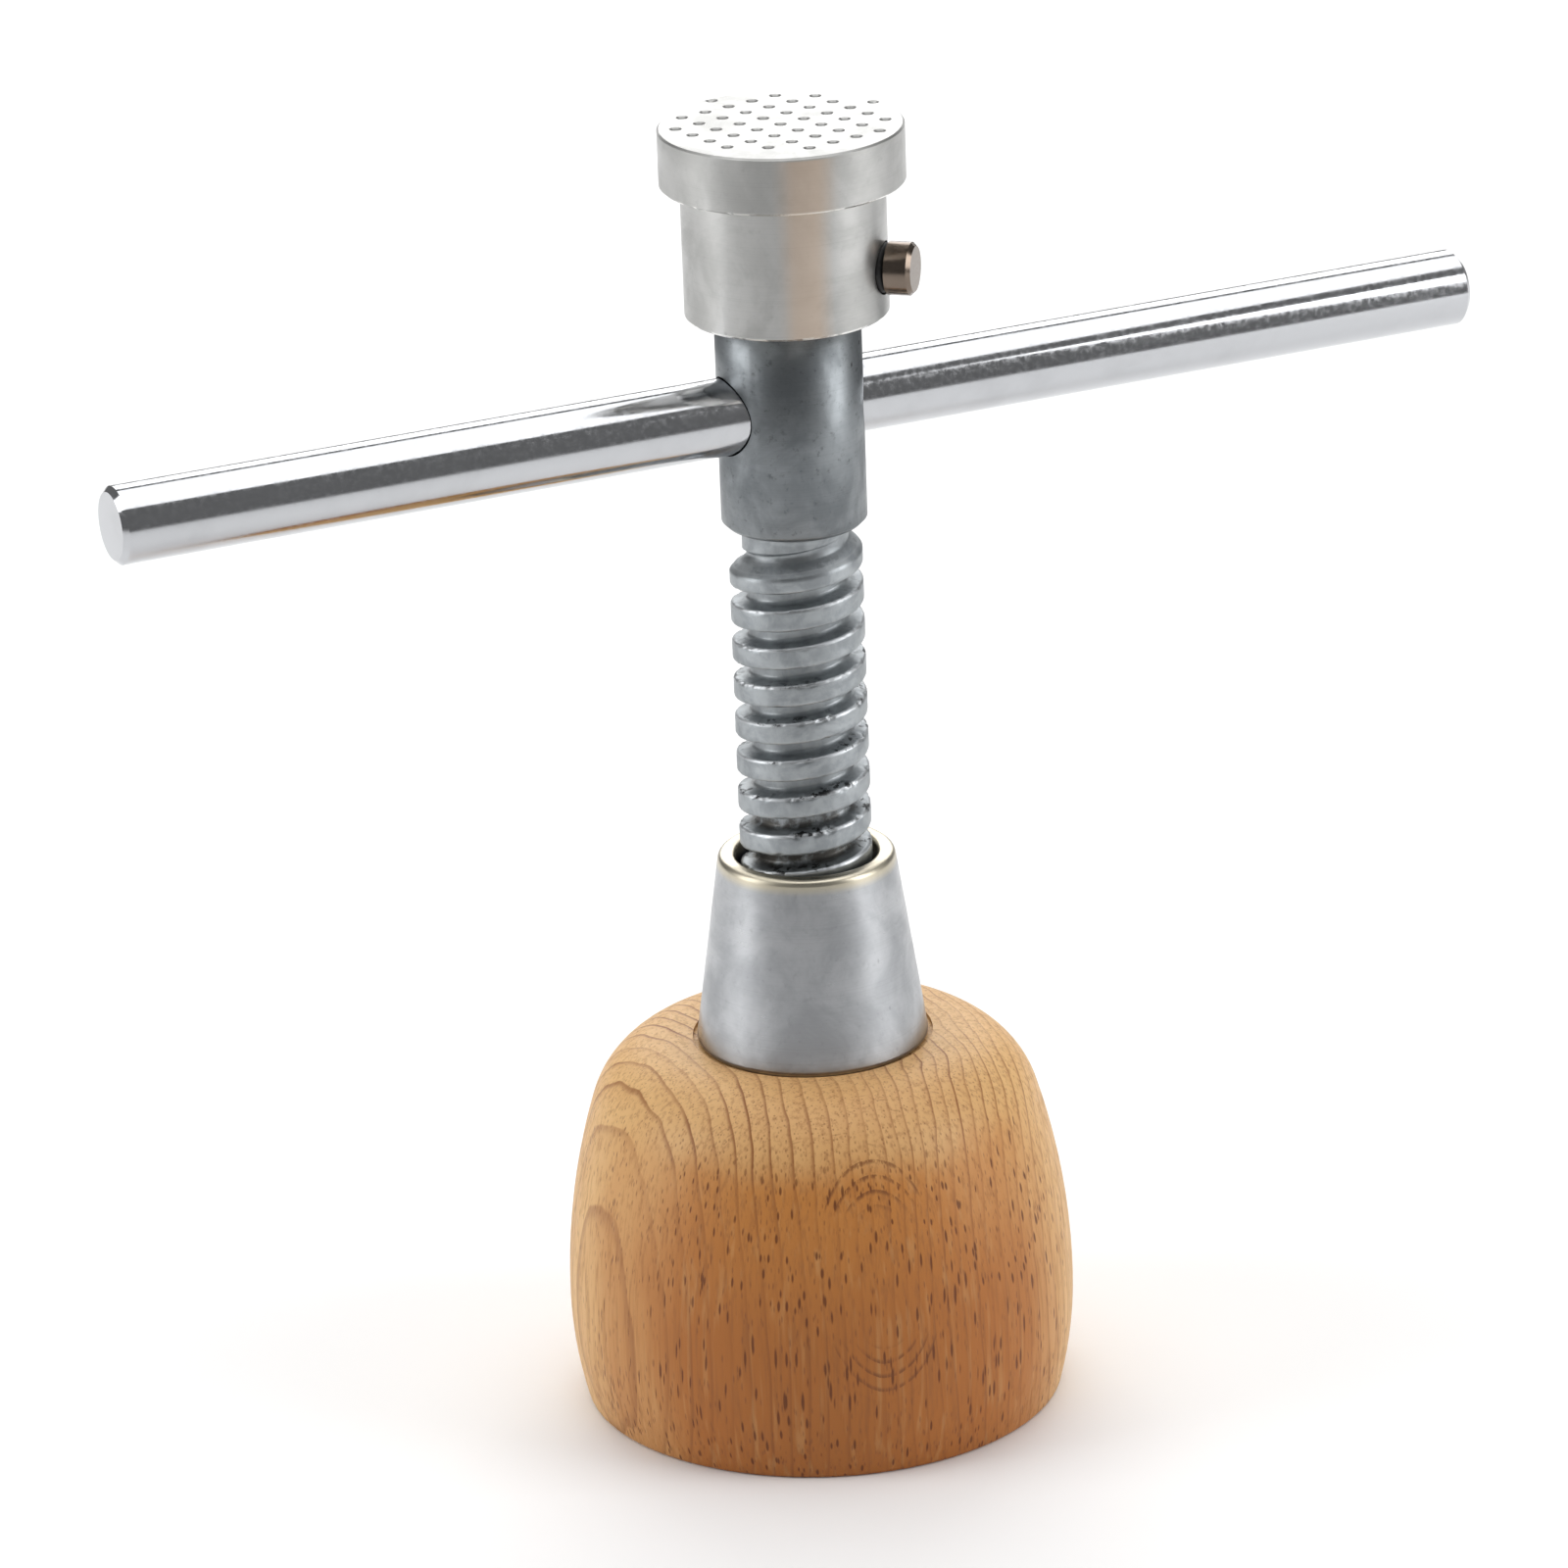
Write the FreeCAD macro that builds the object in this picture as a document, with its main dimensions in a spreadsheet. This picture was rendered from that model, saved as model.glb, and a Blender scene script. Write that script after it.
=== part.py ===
import FreeCAD, Part
import os
import Sketcher

# A screw nutcracker. The origin is on the table, at the centre of the wooden base.
# +Z is up, the tee bar lies along X, and every length is in millimetres.

os.makedirs("parts", exist_ok=True)
doc = FreeCAD.newDocument("nutcracker")
sheet = doc.addObject("Spreadsheet::Sheet", "Size")

SIZES = {
    # wooden base, a bell that is open below
    "base_height": 58.4,
    "belly_radius": 39.15,
    "belly_height": 16.5,
    "upper_curve": 107,
    "lower_curve": 63,
    "shoulder_curve": 14.5,
    "foot_round": 0.8,
    "chamber_radius": 26,
    "ceiling_height": 46,
    "ceiling_round": 4,
    "nut_recess_radius": 21.5,
    "nut_recess_height": 50,
    "collar_recess_radius": 18.5,
    "collar_seat": 57.8,
    "collar_bore_radius": 15.15,
    # steel collar
    "cone_height": 30.6,
    "cone_bottom_radius": 17.9,
    "cone_top_radius": 13.5,
    "cone_bottom_round": 0.9,
    "rim_round": 1.1,
    "mouth_radius": 10.9,
    "mouth_round": 0.8,
    "shank_radius": 15,
    "shank_length": 14.3,
    "insert_radius": 12.5,
    "insert_shoulder": 20.2,
    "key_width": 3,
    "key_bottom": 50.4,
    "key_length": 6.3,
    "key_inner": 13.9,
    "key_outer": 16.6,
    "key_gap": 0.1,
    "washer_radius": 21,
    "washer_bottom": 48.5,
    "washer_thickness": 1.5,
    "ring_nut_radius": 20,
    "ring_nut_bottom": 43,
    "ring_nut_slot": 3.5,
    "ring_nut_slot_depth": 2,
    # drive nut and what holds it
    "drive_nut_bottom": 54,
    "drive_nut_length": 24,
    "circlip_bottom": 52.6,
    "circlip_thickness": 1.2,
    "circlip_outer": 13.3,
    "circlip_inner": 11.2,
    "circlip_opening": 5,
    "lock_pin_height": 56,
    "lock_pin_radius": 1.5,
    "lock_pin_inner": 11.3,
    "lock_pin_outer": 14.9,
    # screw thread, right hand, one start
    "pitch": 6,
    "crest_radius": 10.1,
    "root_radius": 7.45,
    "crest_half_width": 1.6,
    "flank_spread": 0.5,
    "thread_gap": 0.2,
    "thread_gap_radial": 0.25,
    "thread_phase": 4.9,
    "groove_height": 97.1,
    # spindle, measured up from the end of its lower journal
    "spindle_bottom": 39,
    "journal_radius": 6,
    "journal_length": 4,
    "lead_radius": 7.35,
    "lead_top": 6,
    "thread_top": 96.6,
    "neck_bottom": 98.4,
    "neck_radius": 8.05,
    "head_bottom": 102.5,
    "head_radius": 11,
    "head_top": 155.3,
    "head_chamfer": 0.8,
    "bar_level": 120.7,
    "pin_groove_level": 142.8,
    "pin_groove_radius": 8.6,
    "pin_groove_half": 2.7,
    "bar_hole_radius": 6.05,
    "grub_radius": 3,
    "grub_length": 10,
    "screw_hole_depth": 13,
    # tee bar
    "bar_radius": 5.85,
    "bar_length": 222,
    "bar_shift": 2.7,
    "bar_chamfer": 0.8,
    # cap, measured up from the bottom of its sleeve
    "cap_bottom": 174.4,
    "sleeve_radius": 15.3,
    "sleeve_length": 20.1,
    "disc_radius": 18.35,
    "cap_height": 28.8,
    "cap_bore": 11.1,
    "cap_bore_depth": 21.1,
    "cap_chamfer": 0.3,
    "pin_level": 181.8,
    "pin_azimuth": 320,
    "pin_hole_radius": 4.05,
    "pit_pitch": 4.3,
    "pit_angle": 51.5,
    "pit_floor_radius": 0.35,
    "pit_depth": 0.6,
    "pit_field_radius": 16.8,
    "pit_field_shift": 2.2,
    # pull pin, measured out from the spindle's axis
    "pin_tip": 9,
    "pin_tip_radius": 2.45,
    "pin_shoulder": 11.4,
    "pin_radius": 4,
    "pin_groove_inner": 13.9,
    "pin_groove_outer": 15.9,
    "pin_groove_floor": 1.85,
    "pin_end": 19.9,
    "pin_chamfer": 0.6,
    "o_ring_middle": 14.9,
    "o_ring_radius": 2.85,
    "o_ring_half": 0.95,
    "cap_washer_bottom": 194.3,
    "cap_washer_radius": 10.5,
    "cap_washer_thickness": 1,
    "cap_washer_bore": 3.5,
    # presser foot and what holds it
    "foot_bottom": 34,
    "foot_radius": 19,
    "foot_thickness": 8,
    "foot_bore_radius": 6.05,
    "foot_recess_radius": 8.5,
    "foot_recess_depth": 5.1,
    "foot_chamfer": 2,
    "foot_dish": 1.2,
    "foot_rim": 2.5,
    "thrust_washer_bottom": 42,
    "thrust_washer_thickness": 0.95,
    "thrust_washer_bore": 6.1,
    "thrust_washer_radius": 9.5,
    "foot_washer_bottom": 37.8,
    "foot_washer_thickness": 1.2,
    "foot_washer_radius": 7.8,
    "foot_screw_bottom": 35,
    "foot_screw_head_radius": 4.5,
    "foot_screw_head_height": 2.8,
    "foot_screw_radius": 2.5,
    "foot_screw_length": 12,
    "foot_screw_socket": 1.5,
}
for row, (alias, size) in enumerate(SIZES.items(), 1):
    sheet.set("A%d" % row, alias)
    sheet.set("B%d" % row, str(size))
    sheet.setAlias("B%d" % row, alias)
doc.recompute()


def number(expression):
    """The value of an expression over the sheet."""
    return float(sheet.evalExpression(expression))


def new_body(label):
    """An empty body that carries the sub-part's name."""
    body = doc.addObject("PartDesign::Body", label)
    body.Label = label
    return body


def sketch_on(body, name, role):
    """A sketch on one of the body's own origin planes."""
    sketch = body.newObject("Sketcher::SketchObject", name)
    origin = body.Origin.OriginFeatures
    plane = next(item for item in origin if item.Role == role)
    sketch.AttachmentSupport = (plane, [""])
    sketch.MapMode = "FlatFace"
    return sketch


def hold(sketch, edge, end, x, y):
    """Keep one end, or the centre, of an edge at x and y."""
    for kind, expression, axis in (("DistanceX", x, -2), ("DistanceY", y, -1)):
        if expression == "0":
            sketch.addConstraint(Sketcher.Constraint("PointOnObject", edge, end, axis))
            continue
        rule = Sketcher.Constraint(kind, -1, 1, edge, end, number(expression))
        index = sketch.addConstraint(rule)
        sketch.setExpression("Constraints[%d]" % index, expression)


def outline(sketch, corners):
    """A closed outline of straight lines through corners, each a pair of expressions."""
    points = [FreeCAD.Vector(number(x), number(y), 0) for x, y in corners]
    for start, end in zip(points, points[1:] + points[:1]):
        sketch.addGeometry(Part.LineSegment(start, end))
    count = len(points)
    for edge, (x, y) in enumerate(corners):
        before = (edge - 1) % count
        sketch.addConstraint(Sketcher.Constraint("Coincident", edge, 1, before, 2))
        hold(sketch, edge, 1, x, y)


def turn(body, sketch, axis="V_Axis", cut=False):
    """Revolve a sketch about one of its own axes, adding or cutting."""
    kind = "PartDesign::Groove" if cut else "PartDesign::Revolution"
    feature = body.newObject(kind, sketch.Name + "_turned")
    feature.Profile = sketch
    feature.ReferenceAxis = (sketch, [axis])
    feature.Angle = 360
    body.Tip = feature
    return feature


def turned(label, corners, axis="V_Axis"):
    """A body turned from a straight-sided outline in its XZ plane."""
    body = new_body(label)
    sketch = sketch_on(body, label + "_outline", "XZ_Plane")
    outline(sketch, corners)
    turn(body, sketch, axis)
    return body


def tube(label, inner, outer, bottom, height):
    """A plain ring standing at a height."""
    corners = [(inner, "0"), (outer, "0"), (outer, height), (inner, height)]
    body = turned(label, corners)
    body.setExpression("Placement.Base.z", bottom)
    return body


def pocket(body, sketch, depth=None, both=False):
    """Cut a sketch into the body, right through when no depth is given."""
    feature = body.newObject("PartDesign::Pocket", sketch.Name + "_cut")
    feature.Profile = sketch
    if depth is None:
        feature.Type = "ThroughAll"
    else:
        feature.setExpression("Length", depth)
    if both:
        feature.SideType = "Symmetric"
    body.Tip = feature
    return feature


def add_circle(sketch, x, y, radius):
    """A circle held at x and y."""
    centre = FreeCAD.Vector(number(x), number(y), 0)
    circle = Part.Circle(centre, FreeCAD.Vector(0, 0, 1), number(radius))
    edge = sketch.addGeometry(circle)
    hold(sketch, edge, 3, x, y)
    index = sketch.addConstraint(Sketcher.Constraint("Radius", edge, number(radius)))
    sketch.setExpression("Constraints[%d]" % index, radius)


def add_box(sketch, x_low, y_low, x_high, y_high):
    """A rectangle between two corners."""
    corners = [(x_low, y_low), (x_high, y_low), (x_high, y_high), (x_low, y_high)]
    outline(sketch, corners)


def edges_at(shape, radius, height):
    """Names of the circular edges with this radius at this height."""
    names = []
    for index, edge in enumerate(shape.Edges, 1):
        if not isinstance(edge.Curve, Part.Circle):
            continue
        same_radius = abs(edge.Curve.Radius - radius) < 0.01
        if same_radius and abs(edge.CenterOfMass.z - height) < 0.01:
            names.append("Edge%d" % index)
    return names


def rounded(body, radius, height, size, kind="Fillet"):
    """Round or chamfer the circular edges found at a radius and height."""
    doc.recompute()
    tip = body.Tip
    feature = body.newObject("PartDesign::" + kind, "%s_edge_%d" % (body.Name, len(body.Group)))
    feature.Base = (tip, edges_at(tip.Shape, number(radius), number(height)))
    feature.setExpression("Radius" if kind == "Fillet" else "Size", size)
    body.Tip = feature


def arc(circle, start, end):
    """The part of a circle that runs anticlockwise between two points."""
    return Part.ArcOfCircle(circle, circle.parameter(start), circle.parameter(end))


def helical_cut(body, name, corners, height):
    """Cut a right-hand helical groove with this cross-section."""
    sketch = sketch_on(body, name, "XZ_Plane")
    outline(sketch, corners)
    feature = body.newObject("PartDesign::SubtractiveHelix", name + "_swept")
    feature.Profile = sketch
    feature.ReferenceAxis = (sketch, ["V_Axis"])
    feature.Mode = "pitch-height-angle"
    feature.setExpression("Pitch", "Size.pitch")
    feature.setExpression("Height", height)
    body.Tip = feature


# Wooden base: three tangent arcs outside, a chamber open at the table inside.
base = new_body("wooden_base")
profile = sketch_on(base, "base_outline", "XZ_Plane")
belly = number("Size.belly_radius")
level = number("Size.belly_height")
high = number("Size.upper_curve")
low = number("Size.lower_curve")
shoulder = number("Size.shoulder_curve")
top = number("Size.base_height")
rise = top - shoulder - level
shoulder_x = belly - high + ((high - shoulder) ** 2 - rise ** 2) ** 0.5
joint = FreeCAD.Vector(shoulder_x - belly + high, rise, 0).normalize()
foot_x = belly - low + (low ** 2 - level ** 2) ** 0.5
shoulder_end = FreeCAD.Vector(belly - high, level, 0) + joint * high
out = FreeCAD.Vector(0, 0, 1)
lower = Part.Circle(FreeCAD.Vector(belly - low, level, 0), out, low)
upper = Part.Circle(FreeCAD.Vector(belly - high, level, 0), out, high)
round_top = Part.Circle(FreeCAD.Vector(shoulder_x, top - shoulder, 0), out, shoulder)

foot_point = FreeCAD.Vector(foot_x, 0, 0)
belly_point = FreeCAD.Vector(belly, level, 0)
top_point = FreeCAD.Vector(shoulder_x, top, 0)
inside = [
    ("Size.collar_recess_radius", "Size.base_height"),
    ("Size.collar_recess_radius", "Size.collar_seat"),
    ("Size.collar_bore_radius", "Size.collar_seat"),
    ("Size.collar_bore_radius", "Size.nut_recess_height"),
    ("Size.nut_recess_radius", "Size.nut_recess_height"),
    ("Size.nut_recess_radius", "Size.ceiling_height"),
    ("Size.chamber_radius", "Size.ceiling_height"),
    ("Size.chamber_radius", "0"),
]
corners = [top_point]
corners += [FreeCAD.Vector(number(x), number(y), 0) for x, y in inside]
corners += [foot_point]
profile.addGeometry(arc(lower, foot_point, belly_point))
profile.addGeometry(arc(upper, belly_point, shoulder_end))
profile.addGeometry(arc(round_top, shoulder_end, top_point))
for start, end in zip(corners, corners[1:]):
    profile.addGeometry(Part.LineSegment(start, end))
last = 2 + len(corners) - 1
for first, second in ((0, 1), (1, 2)):
    profile.addConstraint(Sketcher.Constraint("Tangent", first, 2, second, 1))
profile.addConstraint(Sketcher.Constraint("Tangent", 2, 2, 3, 1))
profile.addConstraint(Sketcher.Constraint("Coincident", last, 2, 0, 1))
profile.addConstraint(Sketcher.Constraint("PointOnObject", 0, 1, -1))
for edge, size in enumerate(("lower_curve", "upper_curve", "shoulder_curve")):
    rule = Sketcher.Constraint("Radius", edge, number("Size." + size))
    index = profile.addConstraint(rule)
    profile.setExpression("Constraints[%d]" % index, "Size." + size)
hold(profile, 0, 2, "Size.belly_radius", "Size.belly_height")
rule = Sketcher.Constraint("DistanceY", -1, 1, 1, 3, level)
index = profile.addConstraint(rule)
profile.setExpression("Constraints[%d]" % index, "Size.belly_height")
for step, (x, y) in enumerate(inside):
    edge = 4 + step
    profile.addConstraint(Sketcher.Constraint("Coincident", edge - 1, 2, edge, 1))
    hold(profile, edge, 1, x, y)
turn(base, profile)
rounded(base, "Size.chamber_radius", "Size.ceiling_height", "Size.ceiling_round")
foot_edge = "Size.belly_radius - Size.lower_curve + sqrt(Size.lower_curve^2 - Size.belly_height^2)"
rounded(base, foot_edge, "0", "Size.foot_round")
key_slot = sketch_on(base, "base_key_slot", "XY_Plane")
key_slot.setExpression("AttachmentOffset.Base.z", "Size.collar_seat")
slot_side = "Size.key_width / 2 + Size.key_gap"
slot_end = "Size.key_outer + Size.key_gap"
add_box(key_slot, "-(%s)" % slot_side, "Size.shank_radius - 1", slot_side, slot_end)
pocket(base, key_slot, "Size.collar_seat - Size.key_bottom + Size.key_gap")

# Steel collar: a cone over the wood, a shank through it, a pocket for the drive nut.
collar = turned(
    "threaded_collar",
    [
        ("Size.insert_radius", "-Size.shank_length"),
        ("Size.shank_radius", "-Size.shank_length"),
        ("Size.shank_radius", "0"),
        ("Size.cone_bottom_radius", "0"),
        ("Size.cone_top_radius", "Size.cone_height"),
        ("Size.mouth_radius", "Size.cone_height"),
        ("Size.mouth_radius", "Size.insert_shoulder"),
        ("Size.insert_radius", "Size.insert_shoulder"),
    ],
)
rounded(collar, "Size.cone_bottom_radius", "0", "Size.cone_bottom_round")
rounded(collar, "Size.cone_top_radius", "Size.cone_height", "Size.rim_round")
rounded(collar, "Size.mouth_radius", "Size.cone_height", "Size.mouth_round")
circlip_groove = sketch_on(collar, "circlip_groove", "XZ_Plane")
groove_low = "Size.circlip_bottom - Size.collar_seat - Size.key_gap"
groove_high = groove_low + " + Size.circlip_thickness + 2 * Size.key_gap"
groove_end = "Size.circlip_outer + Size.key_gap"
add_box(circlip_groove, "Size.insert_radius - 1", groove_low, groove_end, groove_high)
turn(collar, circlip_groove, cut=True)
key_way = sketch_on(collar, "collar_key_way", "XY_Plane")
key_way.setExpression("AttachmentOffset.Base.z", "Size.key_bottom + Size.key_length - Size.collar_seat")
add_box(key_way, "-Size.key_width / 2", "Size.key_inner", "Size.key_width / 2", "Size.shank_radius + 1")
pocket(collar, key_way, "Size.key_length")
collar.setExpression("Placement.Base.z", "Size.collar_seat")

# Drive nut with its inside thread, cut to the shape of the screw's crest plus a gap.
bore = "Size.root_radius + Size.thread_gap_radial"
drive_nut = tube("drive_nut", bore, "Size.insert_radius", "Size.drive_nut_bottom", "Size.drive_nut_length")
outer = "Size.crest_radius + Size.thread_gap_radial"
inner = "Size.root_radius - 0.3"
middle = "(Size.thread_phase - 2 * Size.pitch)"
narrow = "(Size.crest_half_width + Size.thread_gap)"
wide = "(Size.crest_half_width + Size.flank_spread + Size.thread_gap)"
helical_cut(
    drive_nut,
    "drive_nut_thread",
    [
        (inner, middle + " - " + wide),
        (outer, middle + " - " + narrow),
        (outer, middle + " + " + narrow),
        (inner, middle + " + " + wide),
    ],
    "Size.drive_nut_length + 2 * Size.pitch",
)

# A radial pin keeps the drive nut from turning, so both have a hole for it.
for body, seat in ((collar, "Size.collar_seat"), (drive_nut, "Size.drive_nut_bottom")):
    hole = sketch_on(body, body.Name + "_pin_hole", "YZ_Plane")
    add_circle(hole, "0", "Size.lock_pin_height - %s" % seat, "Size.lock_pin_radius + 0.02")
    pocket(body, hole, "Size.shank_radius + 1")
    if body is drive_nut:
        hole.setExpression("AttachmentOffset.Base.z", "-Size.lock_pin_inner")
    else:
        hole.setExpression("AttachmentOffset.Base.z", "-Size.insert_radius + 1")
lock_pin = turned(
    "drive_nut_lock_pin",
    [
        ("Size.lock_pin_inner", "0"),
        ("Size.lock_pin_outer", "0"),
        ("Size.lock_pin_outer", "Size.lock_pin_radius"),
        ("Size.lock_pin_inner", "Size.lock_pin_radius"),
    ],
    "H_Axis",
)
lock_pin.Placement.Rotation = FreeCAD.Rotation(FreeCAD.Vector(0, 0, 1), 180)
lock_pin.setExpression("Placement.Base.z", "Size.lock_pin_height")
circlip = tube(
    "drive_nut_circlip",
    "Size.circlip_inner",
    "Size.circlip_outer",
    "Size.circlip_bottom",
    "Size.circlip_thickness",
)
opening = sketch_on(circlip, "circlip_gap", "XY_Plane")
half_gap = "Size.circlip_opening / 2"
add_box(opening, "Size.circlip_inner - 1", "-" + half_gap, "Size.circlip_outer + 1", half_gap)
pocket(circlip, opening, both=True)

# What clamps the collar to the wood from inside the chamber.
key = doc.addObject("Part::Box", "collar_key")
key.setExpression("Length", "Size.key_width - 0.04")
key.setExpression("Width", "Size.key_outer - Size.key_inner - 0.04")
key.setExpression("Height", "Size.key_length - 0.04")
key.setExpression("Placement.Base.x", "-Size.key_width / 2 + 0.02")
key.setExpression("Placement.Base.y", "Size.key_inner + 0.02")
key.setExpression("Placement.Base.z", "Size.key_bottom + 0.02")
washer_bore = "Size.shank_radius + 0.2"
tube("collar_washer", washer_bore, "Size.washer_radius", "Size.washer_bottom", "Size.washer_thickness")
ring_nut = tube(
    "collar_ring_nut",
    "Size.shank_radius + 0.05",
    "Size.ring_nut_radius",
    "Size.ring_nut_bottom",
    "Size.washer_bottom - Size.ring_nut_bottom",
)
rounded(ring_nut, "Size.ring_nut_radius", "0", "0.6", "Chamfer")
slots = sketch_on(ring_nut, "ring_nut_slot", "XY_Plane")
slot_floor = "Size.ring_nut_radius - Size.ring_nut_slot_depth"
slot_half = "Size.ring_nut_slot / 2"
add_box(slots, slot_floor, "-" + slot_half, "Size.ring_nut_radius + 1", slot_half)
first_slot = pocket(ring_nut, slots, both=True)
around = ring_nut.newObject("PartDesign::PolarPattern", "ring_nut_slots")
around.Originals = [first_slot]
around.Axis = (slots, ["N_Axis"])
around.Angle = 360
around.Occurrences = 6
ring_nut.Tip = around

# Spindle: journal for the foot, thread, neck, and a head that carries bar and cap.
spindle = turned(
    "spindle",
    [
        ("0", "0"),
        ("Size.journal_radius", "0"),
        ("Size.journal_radius", "Size.journal_length"),
        ("Size.lead_radius", "Size.journal_length"),
        ("Size.lead_radius", "Size.lead_top"),
        ("Size.crest_radius", "Size.lead_top + 1.5"),
        ("Size.crest_radius", "Size.thread_top"),
        ("Size.neck_radius", "Size.neck_bottom"),
        ("Size.neck_radius", "Size.head_bottom"),
        ("Size.head_radius", "Size.head_bottom"),
        ("Size.head_radius", "Size.pin_groove_level - Size.pin_groove_half"),
        ("Size.pin_groove_radius", "Size.pin_groove_level - Size.pin_groove_half"),
        ("Size.pin_groove_radius", "Size.pin_groove_level + Size.pin_groove_half"),
        ("Size.head_radius", "Size.pin_groove_level + Size.pin_groove_half"),
        ("Size.head_radius", "Size.head_top"),
        ("0", "Size.head_top"),
    ],
)
rounded(spindle, "Size.head_radius", "Size.head_bottom", "Size.head_chamfer", "Chamfer")
rounded(spindle, "Size.head_radius", "Size.head_top", "Size.head_chamfer", "Chamfer")
groove_middle = "(Size.thread_phase - Size.pitch)"
mouth = "(Size.pitch / 2 - Size.crest_half_width)"
beyond = "Size.crest_radius + 0.53"
floor_half = "(%s - Size.flank_spread)" % mouth
mouth_half = "(%s + 0.1)" % mouth
helical_cut(
    spindle,
    "spindle_groove",
    [
        ("Size.root_radius", groove_middle + " - " + floor_half),
        (beyond, groove_middle + " - " + mouth_half),
        (beyond, groove_middle + " + " + mouth_half),
        ("Size.root_radius", groove_middle + " + " + floor_half),
    ],
    "Size.groove_height",
)
bar_hole = sketch_on(spindle, "spindle_bar_hole", "YZ_Plane")
add_circle(bar_hole, "0", "Size.bar_level", "Size.bar_hole_radius")
pocket(spindle, bar_hole, both=True)
for name, level_of, radius, depth, flip in (
    ("grub_hole", "Size.head_top", "Size.grub_radius + 0.05", "Size.head_top - Size.bar_level", False),
    ("foot_screw_hole", "0", "Size.foot_screw_radius + 0.05", "Size.screw_hole_depth", True),
):
    hole = sketch_on(spindle, name, "XY_Plane")
    hole.setExpression("AttachmentOffset.Base.z", level_of)
    add_circle(hole, "0", "0", radius)
    cut = pocket(spindle, hole, depth)
    cut.Reversed = flip
spindle.setExpression("Placement.Base.z", "Size.spindle_bottom")

# Tee bar, turned about X, and the grub screw that locks it from above.
tee_bar = turned(
    "tee_bar",
    [
        ("-Size.bar_length / 2", "0"),
        ("Size.bar_length / 2", "0"),
        ("Size.bar_length / 2", "Size.bar_radius - Size.bar_chamfer"),
        ("Size.bar_length / 2 - Size.bar_chamfer", "Size.bar_radius"),
        ("-Size.bar_length / 2 + Size.bar_chamfer", "Size.bar_radius"),
        ("-Size.bar_length / 2", "Size.bar_radius - Size.bar_chamfer"),
    ],
    "H_Axis",
)
tee_bar.setExpression("Placement.Base.x", "Size.bar_shift")
tee_bar.setExpression("Placement.Base.z", "Size.spindle_bottom + Size.bar_level")


def add_hexagon(body, name, height, across):
    """A hexagon socket sketch on a plane at a height."""
    sketch = sketch_on(body, name, "XY_Plane")
    sketch.setExpression("AttachmentOffset.Base.z", height)
    half = "%s / 2" % across
    side = "%s / sqrt(3)" % across
    outline(
        sketch,
        [
            (side, "0"),
            ("%s / 2" % side, half),
            ("-%s / 2" % side, half),
            ("-" + side, "0"),
            ("-%s / 2" % side, "-" + half),
            ("%s / 2" % side, "-" + half),
        ],
    )
    return sketch


grub = turned(
    "bar_set_screw",
    [
        ("0", "0"),
        ("Size.grub_radius - 0.6", "0"),
        ("Size.grub_radius", "0.6"),
        ("Size.grub_radius", "Size.grub_length"),
        ("0", "Size.grub_length"),
    ],
)
socket = add_hexagon(grub, "grub_socket", "Size.grub_length", "3")
pocket(grub, socket, "3")
grub.setExpression("Placement.Base.z", "Size.spindle_bottom + Size.bar_level + Size.bar_radius + 0.02")

# Cap: a sleeve over the spindle's head with a wider disc. Small pits are stamped in
# the disc's top, in rows that sit a little off its centre.
cap = turned(
    "palm_cap",
    [
        ("Size.cap_bore", "0"),
        ("Size.sleeve_radius", "0"),
        ("Size.sleeve_radius", "Size.sleeve_length"),
        ("Size.disc_radius", "Size.sleeve_length"),
        ("Size.disc_radius", "Size.cap_height"),
        ("0", "Size.cap_height"),
        ("0", "Size.cap_bore_depth"),
        ("Size.cap_bore", "Size.cap_bore_depth"),
    ],
)
rounded(cap, "Size.sleeve_radius", "0", "Size.cap_chamfer", "Chamfer")
rounded(cap, "Size.disc_radius", "Size.sleeve_length", "Size.cap_chamfer", "Chamfer")
rounded(cap, "Size.disc_radius", "Size.cap_height", "Size.cap_chamfer", "Chamfer")
pin_hole = sketch_on(cap, "cap_pin_hole", "YZ_Plane")
add_circle(pin_hole, "0", "Size.pin_level - Size.cap_bottom", "Size.pin_hole_radius")
cut = pocket(cap, pin_hole, "Size.disc_radius")
cut.Reversed = True
pits = sketch_on(cap, "cap_pits", "XY_Plane")
pits.AttachmentOffset.Rotation = FreeCAD.Rotation(FreeCAD.Vector(0, 0, 1), number("Size.pit_angle"))
pits.setExpression("AttachmentOffset.Base.z", "Size.cap_height - Size.pit_depth")
pitch = number("Size.pit_pitch")
field = number("Size.pit_field_radius")
field_centre = FreeCAD.Vector(0.6, 0.8, 0) * number("Size.pit_field_shift")
reach = int(field / pitch) + 1
for column in range(-reach, reach + 1):
    for line in range(-reach, reach + 1):
        pit = FreeCAD.Vector(column * pitch, line * pitch, 0)
        if pit.Length > field + 0.6:
            continue
        if (pit - field_centre).Length > field:
            continue
        x = "Size.pit_pitch * %d" % column if column else "0"
        y = "Size.pit_pitch * %d" % line if line else "0"
        add_circle(pits, x, y, "Size.pit_floor_radius")
cut = pocket(cap, pits, "Size.pit_depth")
cut.Reversed = True
cut.TaperAngle = 45
cap.setExpression("Placement.Base.z", "Size.cap_bottom")
cap.Placement.Rotation = FreeCAD.Rotation(FreeCAD.Vector(0, 0, 1), number("Size.pin_azimuth"))

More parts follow.
